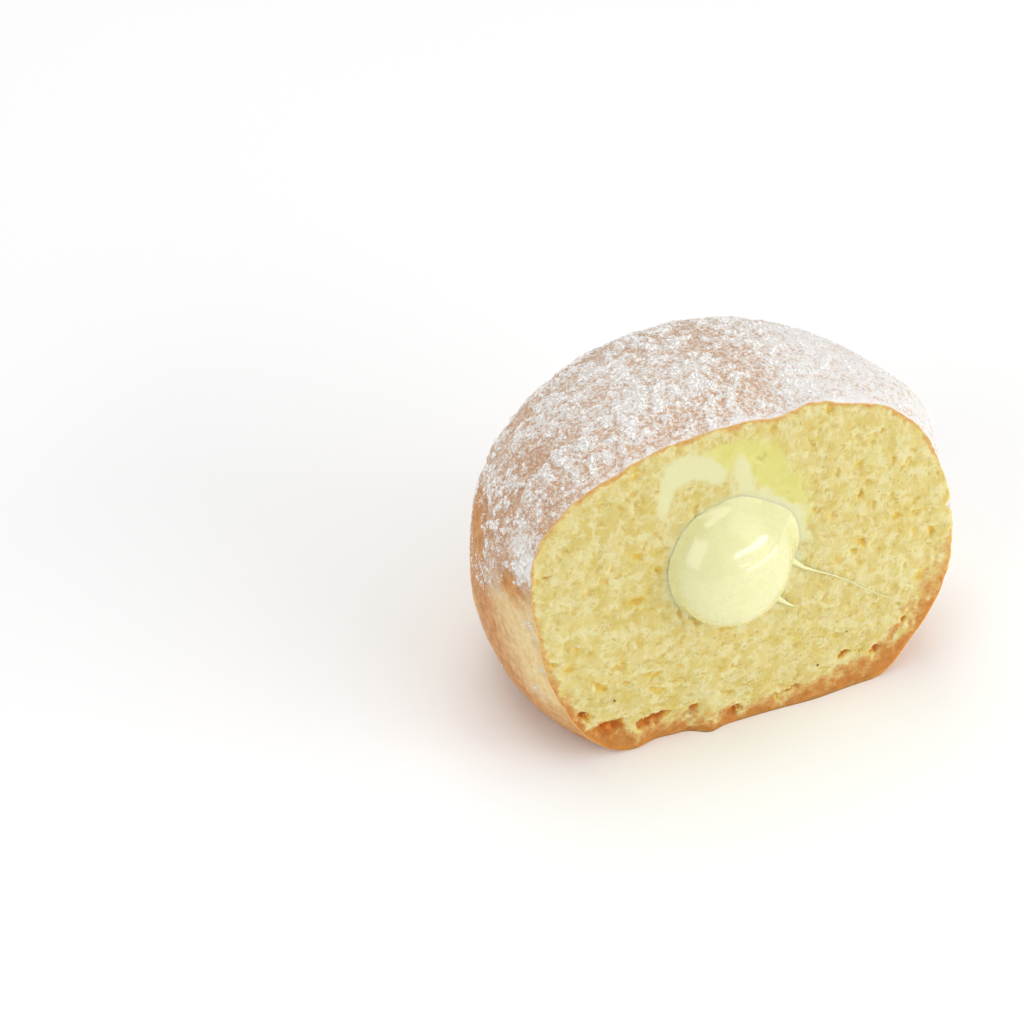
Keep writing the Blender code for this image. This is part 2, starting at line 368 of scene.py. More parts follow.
clean_outline = outline
outline_directions = unit(clean_outline - BUN_HEART)
outline = on_crust(outline_directions)
guides = outline_directions[::GUIDE_EVERY]
crust_points = [outline]
ring_count = 0
share = 0.0
while True:
    guide = on_crust(turned(guides, BACK, share))
    ahead = on_crust(turned(guides, BACK, share + PROBE))
    gap = np.linalg.norm(ahead - guide, axis=1).mean() / PROBE
    share += min(CRUST_STEP, (0.5 + 0.5 * ring_count) * CRUST_STEP) / gap
    if share > LAST_SHARE:
        break
    points_in_ring = max(12, round(length_of(guide) / CRUST_STEP))
    if ring_count < len(FIRST_RINGS):
        points_in_ring = round(len(outline) * FIRST_RINGS[ring_count])
    starts = unit(even_steps(clean_outline, points_in_ring) - BUN_HEART)
    crust_points.append(on_crust(turned(starts, BACK, share)))
    ring_count += 1
crust_points.append(on_crust(BACK[None, :]))
print(ring_count, "rings of crust,", sum(map(len, crust_points)), "points")

# %% [markdown]
# ## The cream's form
#
# The cream is one soft mass: a filling inside, a spill where it wells out of the pocket, and the
# drop that hangs from it. Three ellipsoids would give hard creases where they meet. Instead, the
# surface is measured from one heart that all three hold, and in every direction the three reaches
# are run together with a high power, which keeps the longest and rounds off the change from one
# to the next. Places here are on the cut: `u` across, `v` out of the face, `w` above the table.

# %% The cream as a formula
CREAM_HEART = np.array([-1.6, -2.6, 25.6]) * MM
CREAM_LOBES = {
    "drop": ((-3.2, 0.3, 23.2), (7.8, 5.3, 7.8)),
    "spill": ((0.2, -1.6, 25.0), (5.5, 4.2, 4.7)),
    "filling": ((-1.0, -12.5, 26.2), (10.8, 11.2, 8.8)),
}
LOBE_BLEND = 10.0


def cream_reach(directions):
    """How far the cream's surface lies from its heart, along each direction."""
    total = 0
    for centre, half_sizes in CREAM_LOBES.values():
        start = (CREAM_HEART / MM - centre) / half_sizes
        step = directions / half_sizes
        a = (step**2).sum(axis=1)
        b = step @ start
        c = start @ start - 1
        total = total + ((-b + np.sqrt(b * b - a * c)) / a) ** LOBE_BLEND
    return total ** (1 / LOBE_BLEND) * MM


def on_cut(places):
    """Points in the doughnut's own frame, from places given as (u, v, w)."""
    u, v, w = places.T
    return np.stack([u, cut_y(u, w) - v, w], axis=1)


def cream_excess(places):
    """Below 0 inside the cream, at each (u, v, w)."""
    arms = places - CREAM_HEART
    lengths = np.linalg.norm(arms, axis=1) + 1e-9
    return lengths / cream_reach(arms / lengths[:, None]) - 1


mouth_middle = np.array([CREAM_HEART[0], 0, CREAM_HEART[2]])
mouth_walk = mouth_middle + around * reach_from_heart(around, cream_excess, mouth_middle)[:, None]
mouth_length = length_of(mouth_walk)
mouth = even_steps(mouth_walk, round(mouth_length / CRUMB_STEP))
print("the pocket's mouth is", round(mouth_length / MM), "mm round")

# %% [markdown]
# ## Pores, and the crumb's roughness
#
# Gas left holes all through the dough. The knife opened some of them: a few dozen large ones,
# longer than high in the lower third where the dough was squashed, and torn gaps just above the
# bottom crust. Those are placed one by one. The small ones, well over a thousand, are thrown by a
# seeded draw. A pore is a pit with steep sides, and its rim is made uneven by shifting the point
# that is asked about with a little noise first. The depth is kept for every point, because the
# finish needs it too.

# %% Pores and gaps, set one by one
# Each is (u, w, half width, half height, turn in degrees, depth), in mm.
LARGE_PORES = [
    (-26.9, 27.3, 0.68, 0.46, 0, 0.8), (-26.3, 21.6, 0.95, 1.08, 0, 0.35),
    (-24.8, 17.1, 0.54, 0.62, 0, 0.4), (-24.5, 14.0, 0.95, 0.62, 0, 0.8),
    (-26.8, 15.2, 1.35, 0.46, -25, 0.7), (-20.8, 10.2, 1.49, 0.62, -50, 0.9),
    (-19.1, 35.1, 0.68, 0.62, 0, 0.4), (-17.7, 13.0, 0.68, 0.77, 0, 0.6),
    (-16.6, 33.8, 0.54, 0.62, 30, 0.5), (-15.8, 21.3, 1.42, 0.70, 0, 1.0),
    (-15.3, 37.4, 0.81, 0.77, 0, 0.4), (-14.6, 28.0, 0.68, 0.62, 0, 0.35),
    (-14.4, 12.4, 0.95, 0.39, 0, 0.35), (-13.8, 8.1, 1.08, 0.46, 8, 0.6),
    (-12.5, 24.6, 0.47, 0.93, 0, 0.8), (-11.7, 27.1, 0.95, 0.93, 0, 0.45),
    (-9.9, 18.0, 0.47, 1.24, 15, 0.8), (-9.8, 8.0, 0.54, 0.46, 0, 0.5),
    (-7.8, 16.5, 1.22, 0.77, -35, 0.9), (-7.2, 31.1, 0.68, 0.93, 0, 0.5),
    (1.9, 35.9, 0.68, 0.62, 0, 0.6), (3.8, 38.8, 0.54, 0.46, 20, 0.6),
    (6.4, 21.9, 0.81, 0.46, 0, 0.4), (8.7, 27.0, 0.54, 0.62, 0, 0.5),
    (9.4, 11.2, 1.22, 0.46, 0, 0.4), (10.1, 32.1, 0.81, 0.46, 0, 0.35),
    (10.4, 38.0, 1.22, 0.46, 0, 0.35), (11.8, 19.1, 0.95, 0.62, 0, 0.5),
    (12.6, 24.2, 0.41, 0.39, 0, 0.4), (14.2, 18.4, 0.95, 0.77, 0, 0.35),
    (14.8, 36.2, 1.22, 0.25, 0, 0.4), (15.0, 20.4, 0.61, 0.93, 30, 0.8),
    (15.0, 27.1, 0.61, 0.70, 0, 0.9), (16.9, 25.2, 0.27, 0.93, -20, 0.5),
    (18.6, 34.6, 0.61, 0.46, 0, 0.6), (19.8, 30.3, 0.54, 0.77, 0, 0.6),
    (20.0, 22.7, 0.74, 0.62, -20, 0.8), (22.5, 19.6, 0.81, 0.93, 0, 0.45),
    (23.5, 13.2, 1.08, 1.24, 0, 0.7), (24.8, 19.0, 0.61, 0.93, 0, 0.9),
]
TORN_GAPS = [
    (-23.0, 6.7, 1.22, 0.77, -25, 1.2), (-19.6, 4.1, 2.16, 1.08, -5, 1.6),
    (-14.1, 3.7, 2.43, 0.85, 8, 1.5), (-8.3, 3.6, 0.95, 0.62, 15, 0.9),
    (-3.0, 1.9, 1.35, 0.62, 8, 1.0), (4.7, 2.3, 1.62, 0.46, 15, 0.8),
    (12.1, 5.1, 1.22, 0.62, 20, 0.9), (16.7, 4.3, 0.95, 0.77, 25, 0.9),
    (21.0, 7.4, 0.81, 0.77, 40, 0.7),
]
print(len(LARGE_PORES), "large pores and", len(TORN_GAPS), "torn gaps")

# %% Pits in the crumb
SQUASHED_BELOW = 15.0
PORE_RAGGED = 0.34


def scatter_pores(count, smallest, largest, depth_share, seed):
    """Pores thrown over the whole face, as rows like those above."""
    draw = np.random.default_rng(seed)
    u, w = draw.uniform(-30, 30, count), draw.uniform(0, 42, count)
    size = smallest + (largest - smallest) * draw.random(count) ** 2
    stretch = draw.uniform(0.8, 1.3, count) + 0.6 * (w < SQUASHED_BELOW)
    turn = draw.normal(0, 15, count) + draw.uniform(-90, 90, count) * (w > SQUASHED_BELOW)
    depth = depth_share * size * draw.uniform(0.6, 1.2, count)
    return np.stack([u, w, size * stretch, size / stretch, turn, depth], axis=1)


def pit_depth(u, w, pits):
    """How deep the deepest of the pits is at each (u, w), in metres."""
    places = upright_places(u, w)
    u_mm = u / MM + PORE_RAGGED * rough(places, 0.8 * MM, 21, 3)
    w_mm = w / MM + PORE_RAGGED * rough(places, 0.8 * MM, 31, 3)
    deepest = np.zeros(len(u))
    order = np.argsort(u_mm)
    sorted_u = u_mm[order]
    for pit_u, pit_w, half_width, half_height, turn, depth in pits:
        span = 1.3 * max(half_width, half_height)
        near = order[np.searchsorted(sorted_u, pit_u - span) : np.searchsorted(sorted_u, pit_u + span)]
        du, dw = u_mm[near] - pit_u, w_mm[near] - pit_w
        cos_turn, sin_turn = math.cos(math.radians(turn)), math.sin(math.radians(turn))
        along = (du * cos_turn + dw * sin_turn) / half_width
        over = (dw * cos_turn - du * sin_turn) / half_height
        depths = depth * fade(np.hypot(along, over), 1.25, 0.15)
        deepest[near] = np.maximum(deepest[near], depths)
    return deepest * MM


middle_pores = scatter_pores(260, 0.35, 0.85, 0.5, seed=41)
small_pores = scatter_pores(1500, 0.22, 0.36, 0.5, seed=42)
print(len(middle_pores) + len(small_pores), "pores thrown")

# %% [markdown]
# ## Wet crumb and baked edges
#
# Above the drop the knife smeared cream over the crumb, and the crumb beside it has soaked cream
# up. It is smoother there, more yellow and a little shiny. Near the crust the crumb turns tan:
# only a thin line at the top, but a band of two or three millimetres at the bottom and lower
# right, which lay deepest in the hot fat. At the right edge it stays pale. These could be painted
# by hand. Here each is a number from 0 to 1 at every point, worked out from a few soft blobs with
# ragged borders, and the finish turns the numbers into colour.

# %% Wetness and browning on the face
# Places soaked with cream, and places under a smear: (u, w, half width, half height), in mm.
SOAKED = [
    (2.4, 34.6, 3.2, 3.0), (4.8, 30.8, 3.2, 3.6), (6.0, 27.0, 2.6, 3.0),
    (-0.6, 37.2, 3.0, 1.8), (-4.5, 36.8, 4.8, 2.2),
]
SMEARED = [
    (-11.4, 33.4, 1.0, 1.8), (-10.2, 35.9, 1.5, 1.9), (-8.2, 37.0, 1.9, 1.9), (-6.0, 36.6, 2.0, 1.9),
    (-4.2, 35.2, 1.6, 1.6), (-0.7, 35.6, 1.2, 2.0), (-0.2, 32.6, 1.4, 2.0), (2.0, 30.6, 1.8, 1.2),
    # The knife wiped a little onto the right edge too.
    (28.3, 21.5, 1.1, 5.0),
]
# Where the right edge stays pale, given in the same way.
PALE_EDGE = (29.0, 22.5, 5.0, 4.8)
# Each is (u, w, half size, how much thicker the baked edge is there), in mm.
BAKED = [
    (-16.0, 2.0, 8.0, 1.2), (18.0, 3.5, 6.0, 2.6), (23.5, 9.5, 4.0, 2.8), (25.5, 15.0, 2.5, 1.6),
    (-27.0, 10.0, 6.0, 0.6), (28.5, 23.0, 4.5, -0.32),
]
THINNEST_EDGE, BOTTOM_EDGE = 0.42, 1.3


def blob(u, w, row):
    """1 in the middle of a blob given as (u, w, half width, half height) in mm, and 0 far out."""
    return np.exp(-(((u / MM - row[0]) / row[2]) ** 2) - ((w / MM - row[1]) / row[3]) ** 2)


def wetness(u, w, blobs, start, end):
    """How much cream lies on the crumb, under blobs given as above."""
    places = upright_places(u, w)
    level = sum(blob(u, w, row) for row in blobs)
    return fade(level + 0.22 * rough(places, 1.4 * MM, 51), start, end)


def browning(u, w, to_edge):
    """How baked the crumb is, from its distance to the crust."""
    places = upright_places(u, w)
    thickness = THINNEST_EDGE + BOTTOM_EDGE * fade(w / MM, 7, 1.5)
    for at_u, at_w, half_size, thicker in BAKED:
        thickness = thickness + thicker * blob(u, w, (at_u, at_w, half_size, half_size))
    uneven = np.clip(1 + 0.9 * rough(places, 1.2 * MM, 55), 0.3, 2)
    darkness = 0.6 + 0.4 * fade(w / MM, 16, 5)
    darkness *= 1 - 0.95 * blob(u, w, PALE_EDGE)
    return darkness * fade(to_edge / MM / (thickness * uneven), 1.7, 0.1)


print(len(SOAKED), "soaked places and", len(SMEARED), "smeared ones")

# %% [markdown]
# ## The cut face
#
# The face is a flat scatter of points, pushed in and out by the crumb's roughness and pores. A
# **triangulator** knits flat points into triangles, and keeps the two lines that it is given: the
# outline and the pocket's mouth. The triangles inside the mouth are dropped afterwards, so that
# the pocket stays open. Every other row of points is shifted by half a step, which gives nearly
# equal triangles that catch the light evenly.

# %% Points of the cut face
def polar_limit(loop, middle, u, w):
    """The distance from the middle to each (u, w), and to the loop in the same direction."""
    loop_angles = np.arctan2(loop[:, 2] - middle[1], loop[:, 0] - middle[0])
    loop_radii = np.hypot(loop[:, 2] - middle[1], loop[:, 0] - middle[0])
    order = np.argsort(loop_angles)
    angle = np.arctan2(w - middle[1], u - middle[0])
    limit = np.interp(angle, loop_angles[order], loop_radii[order], period=math.tau)
    return np.hypot(w - middle[1], u - middle[0]), limit


def flat_scatter(low, high, step):
    """Evenly spread (u, w) points over a rectangle, in rows shifted by half a step."""
    rows = np.arange(low[1], high[1], step * math.sqrt(3) / 2)
    columns = np.arange(low[0], high[0], step)
    u, w = np.meshgrid(columns, rows)
    u[1::2] += step / 2
    return u.ravel(), w.ravel()


mouth_middle_2d = mouth_middle[[0, 2]]
u, w = flat_scatter(outline[:, [0, 2]].min(axis=0), outline[:, [0, 2]].max(axis=0), CRUMB_STEP)
distance, limit = polar_limit(outline, FACE_MIDDLE, u, w)
to_mouth, mouth_limit = polar_limit(mouth, mouth_middle_2d, u, w)
keep = (distance < limit - 0.6 * CRUMB_STEP) & (to_mouth > mouth_limit + 0.6 * CRUMB_STEP)
u, w = u[keep], w[keep]

loops = np.vstack([outline[:, [0, 2]], mouth[:, [0, 2]]])
flat = np.vstack([loops, np.stack([u, w], axis=1)])
ends = [(i, (i + 1) % len(outline)) for i in range(len(outline))]
ends += [(len(outline) + i, len(outline) + (i + 1) % len(mouth)) for i in range(len(mouth))]
knitted = delaunay_2d_cdt((flat / MM).tolist(), ends, [], 1, 1e-9)
face_triangles = np.array(knitted[2])
if len(knitted[0]) != len(flat):
    raise RuntimeError("the triangulator added or merged points of the face")
centres = flat[face_triangles].mean(axis=1)
to_mouth, mouth_limit = polar_limit(mouth, mouth_middle_2d, centres[:, 0], centres[:, 1])
face_triangles = face_triangles[to_mouth > mouth_limit - 0.01 * MM]
print("the face has", len(flat), "points and", len(face_triangles), "triangles")

# %% [markdown]
# ## The face pushed in and out
#
# The crumb's height over the clean cut is its roughness less its pores. It fades out at the
# outline, where the points are shared with the crust. Wet crumb has slumped, so it is smoother.
# Cream has also run over the edge of the pocket's mouth, mostly at its upper right.

# %% How wet and how baked each point is
RIM_WIDE, RIM_SIDE = 1.9 * MM, (0.85, 0.53)
BATCH = 4000


def distance_to(loop, u, w):
    """The distance from each (u, w) to the nearest point of a loop, a batch at a time."""
    line = loop[:, 0] + 1j * loop[:, 2]
    places = u + 1j * w
    starts = range(0, len(u), BATCH)
    return np.concatenate([abs(places[i : i + BATCH, None] - line).min(axis=1) for i in starts])


face_u, face_w = flat.T
to_edge = distance_to(outline, face_u, face_w)
soaked = wetness(face_u, face_w, SOAKED, 0.1, 1.2)
smeared = wetness(face_u, face_w, SMEARED, 0.15, 1.2)
from_mouth, mouth_limit = polar_limit(mouth, mouth_middle_2d, face_u, face_w)
from_mouth -= mouth_limit
high_right = fade(unit(flat - mouth_middle_2d) @ RIM_SIDE, -0.2, 0.9)
places = upright_places(face_u, face_w)
ragged = 1 + 0.7 * rough(places, 1.3 * MM, 57)
smeared = np.maximum(smeared, high_right * fade(from_mouth / (RIM_WIDE * ragged), 1.6, 0.3))
wet = np.maximum(soaked, smeared)
bake = browning(face_u, face_w, to_edge)
print("wet:", (wet > 0.5).mean().round(3), "of the points, baked:", (bake > 0.5).mean().round(3))

# %% Push the face in and out
SMEAR_THICKNESS = 0.09 * MM
# Low down the crumb was squashed into layers, so its roughness is stretched sideways there.
layered = places * (0.45, 1, 1)
fluff = 0.12 * MM * noise(places, 3.1 * MM, 61) + 0.09 * MM * rough(places, 1.0 * MM, 62, 3)
fluff += 0.12 * MM * fade(face_w, 14 * MM, 6 * MM) * rough(layered, 1.0 * MM, 67, 3)
large = pit_depth(face_u, face_w, LARGE_PORES)
torn = pit_depth(face_u, face_w, TORN_GAPS)
thrown = np.maximum(pit_depth(face_u, face_w, middle_pores), pit_depth(face_u, face_w, small_pores))
pits = np.maximum.reduce([0.6 * large, torn, thrown * (1 - 0.8 * wet) * (1 - 0.6 * bake)])
height = fluff * (1 - 0.6 * soaked) * (1 + 0.6 * bake) - pits
heaped = 1 + 0.5 * noise(places, 1.8 * MM, 65) + 1.5 * np.exp(-from_mouth / (0.6 * MM))
height = (1 - smeared) * height + smeared * SMEAR_THICKNESS * heaped
height *= fade(to_edge, 0, 0.5 * MM) * fade(from_mouth, -0.1 * MM, 0.3 * MM)
face_points = np.stack([face_u, cut_y(face_u, face_w) - height, face_w], axis=1)
face_points[: len(outline)] = outline
print("the crumb stands out by up to", (height.max() / MM).round(2), "mm")
print("and its deepest pore sinks by", (-height.min() / MM).round(2), "mm")

# %% [markdown]
# ## The pocket
#
# Behind the mouth the dough has a round pocket. The cream hides it, but the dough is a closed
# solid, so its wall is knitted too, in rings from the mouth to the deepest point.

# %% Rings of the pocket's wall
DEEPEST = np.array([0, -1.0, 0])
POCKET_RINGS = 26


def on_cream(directions):
    """Points of the cream's surface, in each direction from its heart."""
    return on_cut(CREAM_HEART + directions * cream_reach(directions)[:, None])


pocket_points = []
for k in range(1, POCKET_RINGS):
    share = k / POCKET_RINGS
    count = max(8, round(len(mouth) / 4 * math.sin(math.pi * (0.35 + 0.65 * share))))
    starts = unit(even_steps(mouth, count) - CREAM_HEART)
    pocket_points.append(on_cream(turned(starts, DEEPEST, share)))
pocket_points.append(on_cream(DEEPEST[None, :]))
pocket_depth = pocket_points[-1][0, 1] - cut_y(*mouth_middle_2d)
print("the pocket is", (pocket_depth / MM).round(1), "mm deep")

# %% [markdown]
# ## Sugar and frying, as numbers
#
# The sugar was sifted on from above, so it lies thick on the dome, thins out towards the waist
# and leaves the base bare. Patches of it stick lower down, and others were rubbed off. The fat
# browned the dome and the base, and the waist floated above it. Both could be painted on by hand.
# As formulas of the place, with a few listed patches, they can be read and changed.

# %% Where the sugar lies, and where the fat fried
# Places on the crust where there is more or less sugar: ((x, y, z), half size, change), in mm.
SUGAR_PLACES = [
    ((-30.1, -5.6, 24.7), 2.4, -0.36), ((-27.5, -8.5, 26.0), 1.6, -0.2),
    ((-28.4, -5.0, 30.3), 2.6, 0.60), ((-28.8, -7.8, 27.8), 2.0, 0.70),
    ((-31.0, -1.0, 24.0), 3.5, 0.25), ((-28.9, -10.0, 18.0), 1.1, 0.40),
    ((-29.3, -8.6, 20.3), 1.2, 0.25), ((-28.2, -10.4, 14.0), 0.9, 0.40),
    ((27.5, -8.0, 27.0), 5.0, 0.45), ((28.5, -8.5, 20.0), 3.0, 0.25),
    ((0.5, 0.0, 41.0), 5.0, -0.15), ((-29.0, 8.0, 24.5), 5.0, -0.25),
]
# Places where the crust is darker, given in the same way. Most were fried darker by the fat;
# the one at (-29, 8, 23), at the back left, is just made darker.
DARKER_CRUST_PLACES = [
    ((-30.5, 3.0, 14.0), 7.0, 0.9), ((-29.8, -2.0, 10.0), 5.0, 0.5),
    ((-30.1, -5.6, 25.2), 2.1, 0.7), ((-29.0, 8.0, 23.0), 6.5, 0.9),
    ((-30.2, 2.5, 17.5), 3.5, 0.4), ((27.0, -9.5, 10.0), 3.0, 0.3),
]


def patches_of(places, rows):
    """The changes of all the rows at each place, each fading out around its spot."""
    total = np.zeros(len(places))
    for spot, half_size, change in rows:
        away = np.linalg.norm(places / MM - spot, axis=1) / half_size
        total += change * np.exp(-(away**2))
    return total


def dusting(places):
    """How thick the icing sugar lies on the crust, 0 to 1; its rise to the right is partly painted
    light.
    """
    x, z = places[:, 0] / MM, places[:, 2] / MM
    # More sugar at the right and less at the left: partly real, partly painted light from the right.
    level = z + 3.0 * noise(places, 7 * MM, 71) - 5.0 * fade(x, -20, -28)
    thickest = 0.55 + 0.14 * noise(places, 6 * MM, 72) + 0.37 * fade(x, 2, 22)
    thickest += 0.20 * fade(z, 34, 39) - 0.06 * fade(x, -8, -22)
    dust = thickest * fade(level, 14, 27)
    dust += 0.26 * fade(noise(places, 4.5 * MM, 73), 0.1, 0.6) * fade(z, 6, 12) * fade(level, 27, 20)
    return np.clip(dust + patches_of(places, SUGAR_PLACES), 0, 1)


def frying(places):
    """How dark the crust is, from 0 at the pale waist to 1: mostly fried by the fat."""
    level = places[:, 2] / MM + 1.6 * noise(places, 6 * MM, 75)
    bottom = fade(level, 12.0, 3)
    top = fade(level, 19, 28)
    fried = np.maximum(bottom, top) + patches_of(places, DARKER_CRUST_PLACES)
    return np.clip(fried + 0.12 * rough(places, 2 * MM, 76), 0, 1)


print("sugar on the top and at the right:", dusting(top_and_right).round(2))
print("frying there:", frying(top_and_right).round(2))

# %% [markdown]
# ## One closed mesh
#
# Crust, face and pocket are put in one mesh, with their shared points used once. Three meshes
# laid edge to edge would look the same from afar, but light that enters the dough would stop at
# every seam. The numbers that the finish needs are stored on the points as **attributes**: how
# deep in a pore, how wet, how baked, how fried and how thickly dusted. Two material slots keep
# crust and crumb apart, and the edge between them is marked sharp.

# %% How a mesh is made from points and triangles
def mesh_object(name, points, triangles, attributes=None):
    """A smooth mesh object in the scene, with numbers stored on its points."""
    mesh = bpy.data.meshes.new(name)
    triangles = np.asarray(triangles, np.int32)
    mesh.vertices.add(len(points))
    mesh.vertices.foreach_set("co", np.asarray(points, np.float32).ravel())
    mesh.loops.add(3 * len(triangles))
    mesh.loops.foreach_set("vertex_index", triangles.ravel())
    mesh.polygons.add(len(triangles))
    mesh.polygons.foreach_set("loop_start", np.arange(0, 3 * len(triangles), 3, dtype=np.int32))
    mesh.update(calc_edges=True)
    mesh.validate()
    for key, values in (attributes or {}).items():
        layer = mesh.attributes.new(key, "FLOAT", "POINT")
        layer.data.foreach_set("value", np.asarray(values, np.float32))
    mesh.shade_smooth()
    thing = bpy.data.objects.new(name, mesh)
    bpy.context.scene.collection.objects.link(thing)
    return thing


# %% Knit face, crust and pocket together
def number_rings(rings, first):
    """Lists of point numbers for rings stored one after another, from number first on."""
    numbers = []
    for ring in rings:
        numbers.append(list(range(first, first + len(ring))))
        first += len(ring)
    return numbers


def knit_rings(numbers):
    """Triangles for a run of rings that ends in a single point."""
    triangles = []
    for lower, upper in zip(numbers, numbers[1:]):
        if len(upper) == 1:
            triangles += [(lower[i], upper[0], lower[(i + 1) % len(lower)]) for i in range(len(lower))]
        else:
            triangles += knit(lower, upper)
    return triangles


outline_numbers = list(range(len(outline)))
mouth_numbers = list(range(len(outline), len(outline) + len(mouth)))
crust_numbers = number_rings(crust_points[1:], len(face_points))
pocket_first = len(face_points) + sum(map(len, crust_points[1:]))
pocket_numbers = number_rings(pocket_points, pocket_first)
crust_triangles = np.array(knit_rings([outline_numbers] + crust_numbers))
pocket_triangles = np.array(knit_rings([mouth_numbers] + pocket_numbers))[:, ::-1]
dough_points = np.vstack([face_points] + crust_points[1:] + pocket_points)
dough_triangles = np.vstack([face_triangles, crust_triangles, pocket_triangles])
print("the dough has", len(dough_points), "points and", len(dough_triangles), "triangles")


# %% The dough, with the numbers for its finish
def with_zeros(face_values):
    """Values for all the dough's points, from those of the face. They are 0 elsewhere."""
    return np.concatenate([face_values, np.zeros(len(dough_points) - len(face_values))])


# How many rings each point lies from the cut, turned into millimetres.
rings_away = [np.zeros(len(face_points))]
rings_away += [np.full(len(ring), k + 1.0) for k, ring in enumerate(crust_points[1:])]
rings_away += [np.zeros(len(ring)) for ring in pocket_points]
rim = np.concatenate(rings_away) * CRUST_STEP / MM
# At the right the crust is so pale and thin that no line of it shows beside the crumb.
rim += 0.45 * fade(dough_points[:, 0] / MM, 20, 26) * fade(dough_points[:, 2] / MM, 11, 17)
dust, caked = dusting(dough_points), caking(dough_points)
dough = mesh_object("doughnut_dough", dough_points, dough_triangles, {
    "pit": with_zeros(pits / MM),
    "torn": with_zeros(torn / MM),
    "soaked": with_zeros(soaked),
    "smeared": with_zeros(smeared),
    "bake": with_zeros(bake),
    "dust": dust,
    "caked": caked,
    "fried": frying(dough_points),
    "rim": rim,
    "near_cream": with_zeros(np.exp(-np.maximum(from_mouth, 0) / (0.7 * MM))),
})
kept = [key for key in dough.data.attributes.keys() if not key.startswith(".")]
print("stored on every point:", ", ".join(kept))

# %% The sharp edge, the two parts and the place in the frame
def volume_of(points, triangles):
    """The volume inside a closed mesh. It is below 0 if the faces point in."""
    a, b, c = (points[triangles[:, i]] for i in range(3))
    return (np.cross(a, b) * c).sum() / 6


# Crust and crumb meet at a sharp edge, all along the outline.
edges = np.empty(2 * len(dough.data.edges), np.int32)
dough.data.edges.foreach_get("vertices", edges)
low, high = np.sort(edges.reshape(-1, 2)).T
steps_apart = high - low
on_outline = (high < len(outline)) & ((steps_apart == 1) | (steps_apart == len(outline) - 1))
sharp = dough.data.attributes.new("sharp_edge", "BOOLEAN", "EDGE")
sharp.data.foreach_set("value", on_outline)
is_crumb = np.ones(len(dough_triangles), np.int32)
is_crumb[len(face_triangles) : len(face_triangles) + len(crust_triangles)] = 0
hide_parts("dough")
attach(dough, "root")
dough_volume = volume_of(dough_points, dough_triangles) / (10 * MM) ** 3
print("the dough's volume:", dough_volume.round(1), "cm3, sharp edges:", on_outline.sum())

# %% [markdown]
# ## The cream
#
# The cream is cast from the same formula as its pocket, so it fits exactly. Its points lie on a
# fine **icosphere**, which has no poles where triangles crowd. Real custard keeps the folds it had
# when it welled out: two soft ridges with a valley between them, across the upper half of the
# drop, and a short one higher up at its left. They are what breaks up the reflection of a lamp.
# Where the drop leaves the pocket it spreads over the crumb in a soft foot, which is widest at
# its upper right.

# %% Folds and foot
# Each fold is a line of (u, w) over the drop, from left to right, and its height, in mm.
CREAM_FOLDS = [
    ([(-6.4, 27.4), (-4.6, 27.6), (-2.7, 27.9), (-0.4, 28.4), (1.9, 27.9)], 0.07),
    ([(-5.0, 26.0), (-3.4, 25.8), (-1.7, 25.9), (0.4, 26.4), (2.3, 26.8)], 0.07),
    ([(-9.0, 29.0), (-7.6, 29.9), (-6.2, 30.0)], 0.14),
]
FOLD_ABOVE, FOLD_BELOW = 0.5, 1.2
# The foot: how high it is, how wide all round, and how much wider at its upper right.
FOOT_HEIGHT, FOOT_THIN, FOOT_WIDE = 0.4 * MM, 0.34 * MM, 0.65 * MM
DROP_FRONT = -0.2


def fold(u, w, line):
    """A ridge along a line of (u, w) in mm: steep above the line, and gentle below it."""
    points = np.array(line)
    along = np.interp(u / MM, points[:, 0], points[:, 1])
    over = w / MM - along
    width = np.where(over > 0, FOLD_ABOVE, FOLD_BELOW)
    begin, end = points[0, 0], points[-1, 0]
    ends = fade(u / MM, begin - 1, begin + 1) * fade(u / MM, end + 1, end - 0.5)
    return np.exp(-((over / width) ** 2)) * ends


print(len(CREAM_FOLDS), "folds, up to", max(height for _, height in CREAM_FOLDS), "mm high")


# %% The mass of cream
def icosphere_directions(subdivisions):
    """The points of an icosphere, one long, and its triangles."""
    sphere = bmesh.new()
    bmesh.ops.create_icosphere(sphere, subdivisions=subdivisions, radius=1)
    points = np.array([vert.co for vert in sphere.verts])
    triangles = np.array([[vert.index for vert in face.verts] for face in sphere.faces])
    sphere.free()
    return unit(points), triangles


directions, cream_triangles = icosphere_directions(7)
cream_places = CREAM_HEART + directions * cream_reach(directions)[:, None]
facing = fade(directions[:, 1], DROP_FRONT, 0.5)
swell = 0.05 * noise(cream_places, 3.2 * MM, 81) + 0.03 * noise(cream_places, 1.5 * MM, 82)
for line, fold_height in CREAM_FOLDS:
    swell = swell + fold_height * fold(cream_places[:, 0], cream_places[:, 2], line)
cream_places += directions * (swell * facing * MM)[:, None]
sideways = unit(cream_places[:, [0, 2]] - mouth_middle_2d)
out_of_face = cream_places[:, 1]
foot_side = fade(sideways @ RIM_SIDE, -0.3, 0.7)
foot = np.exp(-np.maximum(out_of_face, 0) / (FOOT_HEIGHT * (1 + 1.2 * foot_side)))
foot = foot * fade(out_of_face, -0.8 * MM, -0.1 * MM)
foot *= FOOT_THIN + FOOT_WIDE * foot_side * (1 + 0.25 * noise(cream_places, 3.5 * MM, 83))
cream_places[:, [0, 2]] += sideways * foot[:, None]
cream = mesh_object("custard_cream", on_cut(cream_places), cream_triangles)
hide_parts("cream")
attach(cream, "root")
print("cream:", len(cream_triangles), "triangles")

# %% [markdown]
# ## Strings of cream
#
# When the knife left the drop, it pulled the cream into strings that dried on the crumb. A
# string could be a curve with a bevel, but a curve isn't a mesh yet. It is knitted instead, as a
# tube round a bent line, thick where it leaves the drop and thin as a hair at its end.

# %% Pull the strings
STRING_SIDES = 8
